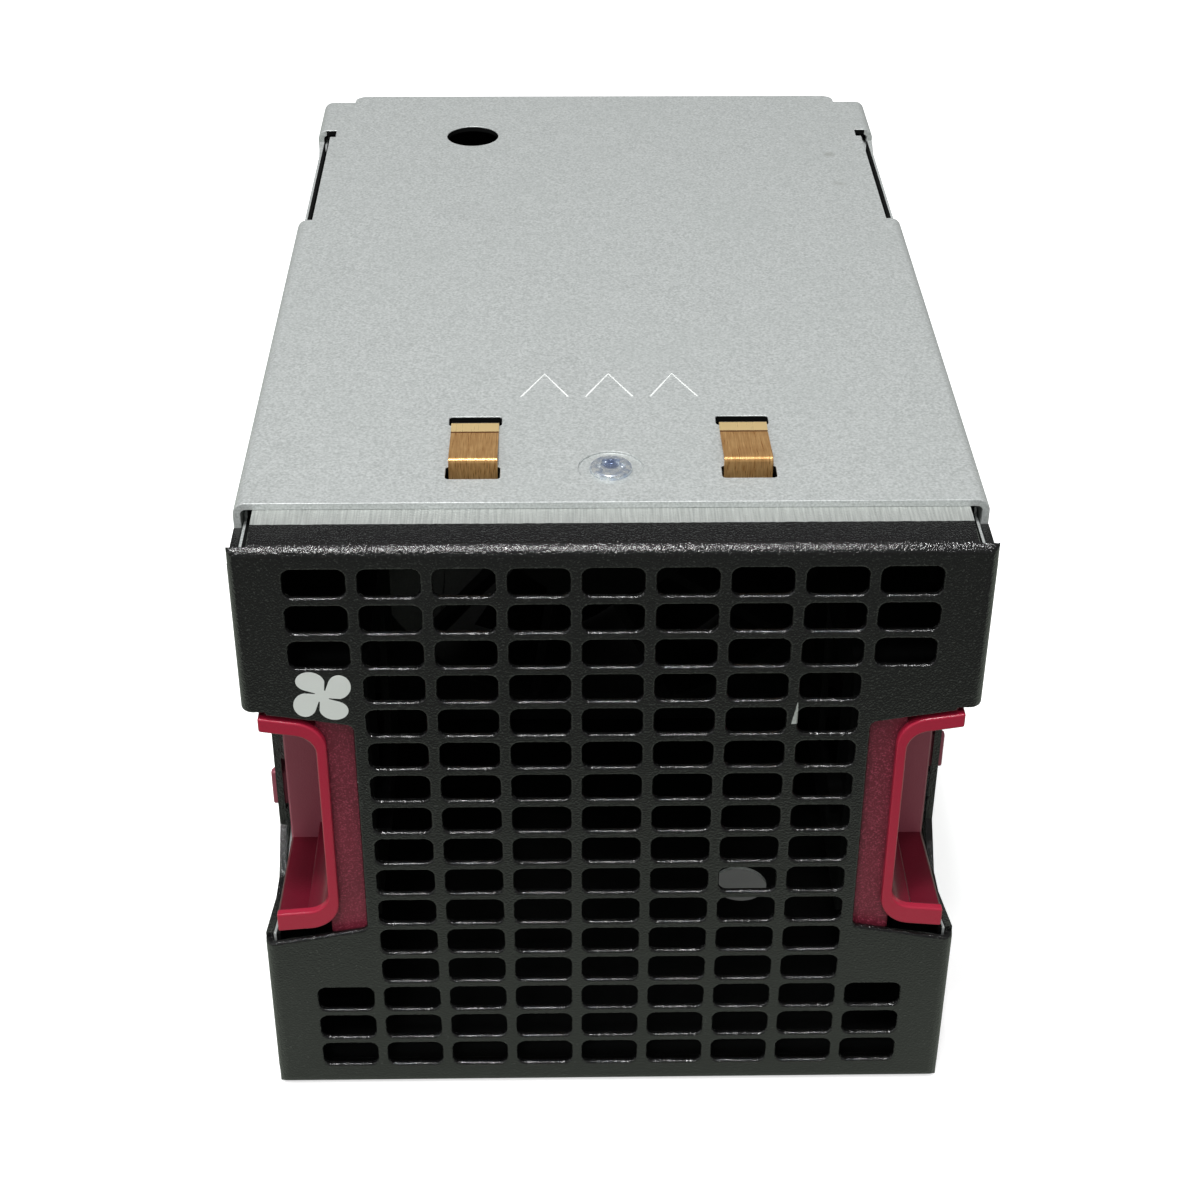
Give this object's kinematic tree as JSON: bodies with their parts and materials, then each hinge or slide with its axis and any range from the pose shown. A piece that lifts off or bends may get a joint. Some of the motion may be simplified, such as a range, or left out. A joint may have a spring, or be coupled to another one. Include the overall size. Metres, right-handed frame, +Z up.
{
  "type": "server cooling fan",
  "caption": "Hot-plug axial fan in a sheet-metal case with a slotted grille, pinch latches at both sides and a plug-in rear connector.",
  "frame": {"origin": "under the middle of the case, on the face that it stands on", "axes": "+X to the right seen from the grille, the grille faces -Y, +Z up"},
  "size_m": [0.0998, 0.1526, 0.0962],
  "materials": {
    "black_steel": "fine textured powder coat",
    "zinc_steel": "zinc-coated sheet, satin",
    "copper_alloy": "satin rolled strip",
    "bright_steel": "zinc plated",
    "wine_plastic": "moulded, lightly textured",
    "black_plastic": "moulded, glass filled",
    "motor_steel": "machined",
    "ferrite": "sintered",
    "brass": "turned",
    "copper_wire": "enamelled wire",
    "white_plastic": "moulded",
    "board_green": "circuit board",
    "capacitor": "can"
  },
  "bodies": {
    "case": {"front_bezel": "black_steel", "top_cover": "zinc_steel", "case_tray": "zinc_steel", "rear_panel": "zinc_steel", "left_latch_bracket": "zinc_steel", "right_latch_bracket": "zinc_steel", "grounding_clip_left": "copper_alloy", "grounding_clip_right": "copper_alloy", "cover_screw": "bright_steel", "cover_nut": "bright_steel", "left_latch_pin": "bright_steel", "right_latch_pin": "bright_steel", "left_latch_spring": "bright_steel", "right_latch_spring": "bright_steel", "fan_screws": "bright_steel", "bezel_rivets": "bright_steel", "bracket_rivets": "bright_steel", "panel_rivets": "bright_steel", "fan_housing": "black_plastic", "inlet_duct": "black_plastic", "power_connector": "black_plastic", "front_bearing": "motor_steel", "rear_bearing": "motor_steel", "stator_core": "motor_steel", "bearing_tube": "brass", "connector_contacts": "brass", "stator_coils": "copper_wire", "stator_insulators": "white_plastic", "motor_board": "board_green", "board_capacitors": "capacitor"},
    "rotor": {"impeller": "black_plastic", "rotor_cup": "motor_steel", "rotor_magnet": "ferrite", "rotor_shaft": "motor_steel", "shaft_clip": "motor_steel", "preload_washer": "motor_steel"},
    "left_latch": {"left_latch": "wine_plastic"},
    "right_latch": {"right_latch": "wine_plastic"}
  },
  "joints": [
    {"name": "rotor_spin", "type": "hinge", "parent": "case", "child": "rotor", "pos_m": [0, 0.03675, 0.0475], "axis": [0, 1, 0], "continuous": true},
    {"name": "left_pinch", "type": "hinge", "parent": "case", "child": "left_latch", "pos_m": [-0.042, -0.03225, 0.0475], "axis": [0, 0, 1], "range_deg": [0, 3.5], "stiffness_Nm_per_rad": 0.6, "springref_deg": -6.88, "deforming": ["left_latch_spring"]},
    {"name": "right_pinch", "type": "hinge", "parent": "case", "child": "right_latch", "pos_m": [0.042, -0.03225, 0.0475], "axis": [0, 0, -1], "range_deg": [0, 3.5], "stiffness_Nm_per_rad": 0.6, "springref_deg": -6.88, "deforming": ["right_latch_spring"]}
  ]
}
